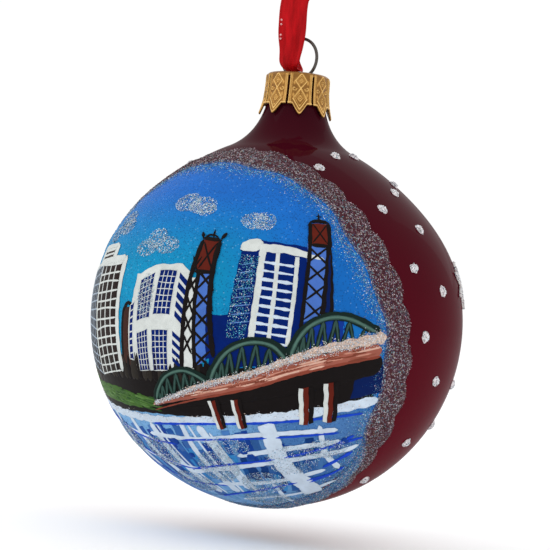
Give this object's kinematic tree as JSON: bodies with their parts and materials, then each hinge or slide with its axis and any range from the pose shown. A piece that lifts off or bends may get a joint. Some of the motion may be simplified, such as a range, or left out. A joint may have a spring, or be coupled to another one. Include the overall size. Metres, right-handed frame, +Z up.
{
  "type": "glass ball ornament",
  "caption": "Hand-painted glass ball ornament with a stamped cap, spring-wire hanger, raised glitter paint and a ribbon to hang it by.",
  "frame": {"origin": "the hanging point, between the ribbon's strands just under its knot", "axes": "+Z up along the ball's axis; -Y is the way the painted picture faces; +X to the picture's right"},
  "size_m": [0.0812, 0.0806, 0.1205],
  "materials": {
    "painted_glass": "satin lacquer over blown glass",
    "gold_cap": "antique gold, stamped",
    "spring_wire": "dark drawn wire",
    "ribbon": "red satin ribbon with a woven edge",
    "border_glitter": "iridescent glitter paint",
    "snow_glitter": "white glitter paint"
  },
  "bodies": {
    "ribbon": {"ribbon_front": "ribbon", "ribbon_back": "ribbon", "ribbon_knot": "ribbon", "ribbon_tail_left": "ribbon", "ribbon_tail_right": "ribbon"},
    "hanger": {"hanger_wire": "spring_wire", "ribbon_bight": "ribbon"},
    "cap": {"cap": "gold_cap"},
    "ball": {"glass_ball": "painted_glass", "glitter_border": "border_glitter", "snow_dot_01": "snow_glitter", "snow_dot_02": "snow_glitter", "snow_dot_03": "snow_glitter", "snow_dot_04": "snow_glitter", "snow_dot_05": "snow_glitter", "snow_dot_06": "snow_glitter", "snow_dot_07": "snow_glitter", "snow_dot_08": "snow_glitter", "snow_dot_09": "snow_glitter", "snow_dot_10": "snow_glitter", "snow_dot_11": "snow_glitter", "snow_dot_12": "snow_glitter", "snow_dot_13": "snow_glitter", "snow_dot_14": "snow_glitter", "snow_dot_15": "snow_glitter", "snow_dot_16": "snow_glitter", "snow_dot_17": "snow_glitter", "snow_dot_18": "snow_glitter", "snow_dot_19": "snow_glitter", "snow_dot_20": "snow_glitter", "snow_dot_21": "snow_glitter", "snow_dot_22": "snow_glitter", "snow_dot_23": "snow_glitter", "snow_dot_24": "snow_glitter", "snow_dot_25": "snow_glitter", "snow_dot_26": "snow_glitter", "snow_dot_27": "snow_glitter", "snow_dot_28": "snow_glitter", "snow_dot_29": "snow_glitter", "snow_dot_30": "snow_glitter", "snow_dot_31": "snow_glitter", "snow_dot_32": "snow_glitter", "snow_dot_33": "snow_glitter", "snow_dot_34": "snow_glitter", "snow_dot_35": "snow_glitter", "snow_dot_36": "snow_glitter", "snow_dot_37": "snow_glitter", "snow_dot_38": "snow_glitter", "star_right": "snow_glitter", "star_back": "snow_glitter", "star_left": "snow_glitter"}
  },
  "joints": [
    {"name": "hanger_swing", "type": "hinge", "parent": "ribbon", "child": "hanger", "pos_m": [0, 0, -0.0101], "axis": [1, 0, 0], "range_deg": [-45, 45]},
    {"name": "wire_pull_out", "type": "slide", "parent": "hanger", "child": "cap", "axis": [0, 0, -1], "range_m": [0, 0.018]},
    {"name": "cap_pull_off", "type": "slide", "parent": "cap", "child": "ball", "axis": [0, 0, -1], "range_m": [0, 0.026]}
  ]
}
